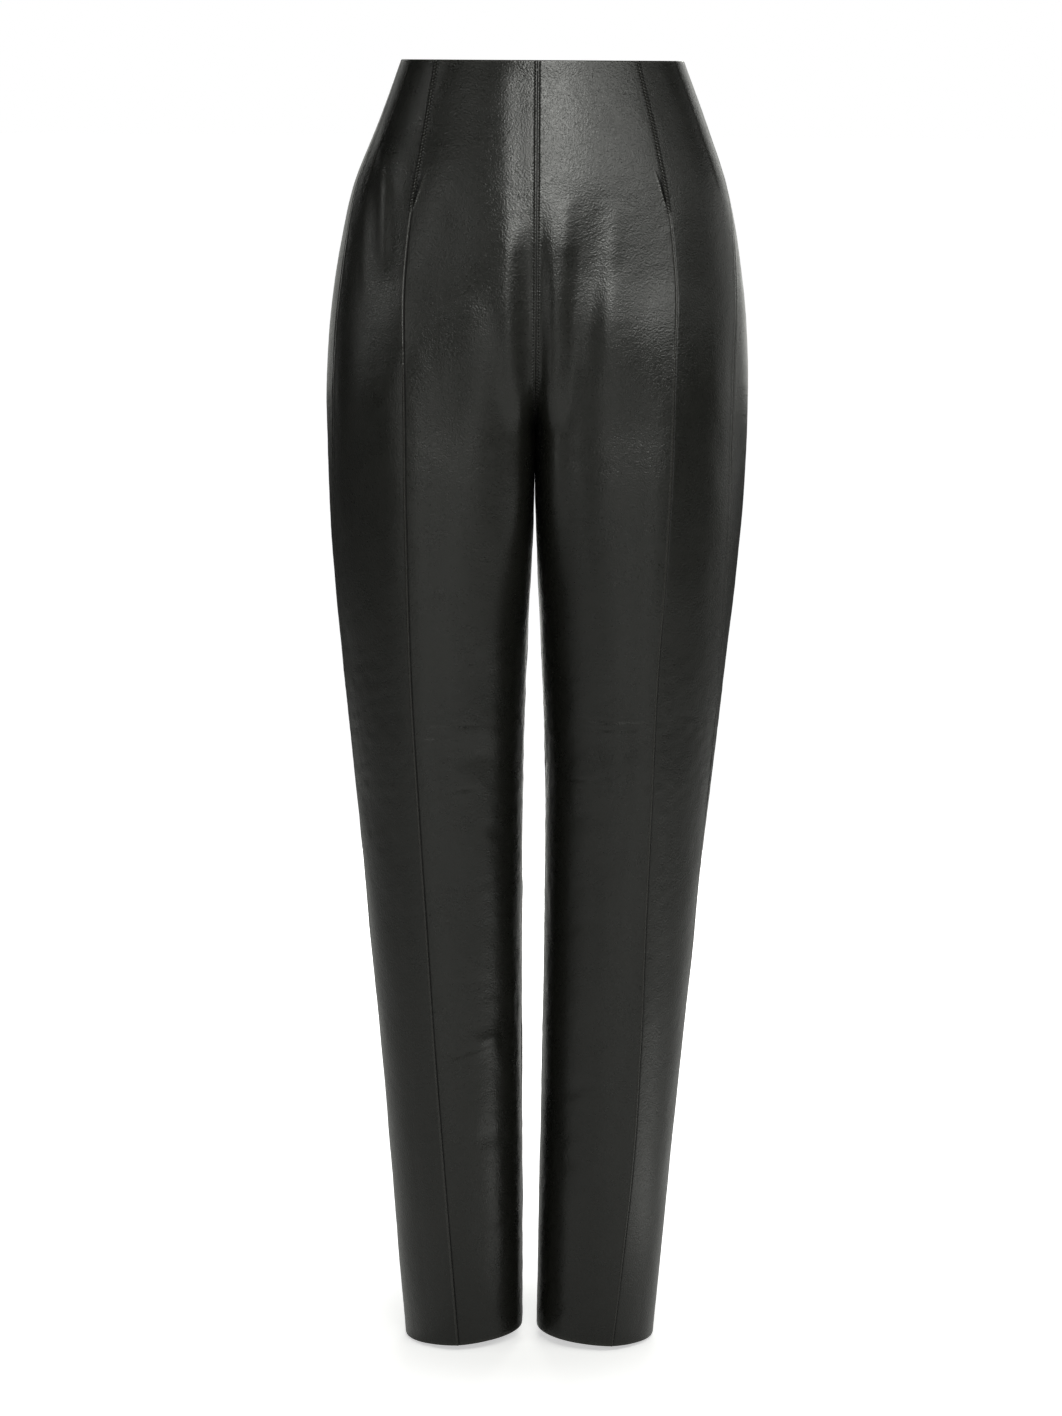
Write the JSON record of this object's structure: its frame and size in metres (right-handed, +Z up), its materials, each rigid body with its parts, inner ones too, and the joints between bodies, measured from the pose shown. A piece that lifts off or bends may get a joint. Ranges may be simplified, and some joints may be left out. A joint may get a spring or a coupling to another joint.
{
  "type": "leather trousers",
  "caption": "Slim high-waisted black leather trousers, filled out as worn, with front darts that run on as pintucks and a concealed zip at the centre back.",
  "frame": {"origin": "the middle of the waist opening, level with its top edge, where the wearer holds the trousers up", "axes": "+Z up along the legs, +X towards the wearer's left leg, -Y the way the front faces"},
  "size_m": [0.3446, 0.2281, 1.0576],
  "materials": {
    "front_left": "satin",
    "front_right": "satin",
    "back_left": "satin",
    "back_right": "satin",
    "zip_tape_left": "matt",
    "zip_tape_right": "matt",
    "zip_slider": "satin",
    "zip_pull": "satin"
  },
  "bodies": {
    "trousers": {"front_left": "front_left", "front_right": "front_right", "back_left": "back_left", "back_right": "back_right", "zip_tape_left": "zip_tape_left", "zip_tape_right": "zip_tape_right", "zip_slider": "zip_slider"},
    "pull_tab": {"zip_pull": "zip_pull"}
  },
  "joints": [
    {"name": "pull_tab_hinge", "type": "hinge", "parent": "trousers", "child": "pull_tab", "pos_m": [0, 0.10103, -0.0125], "axis": [1, 0, 0], "range_deg": [0, 150]}
  ]
}
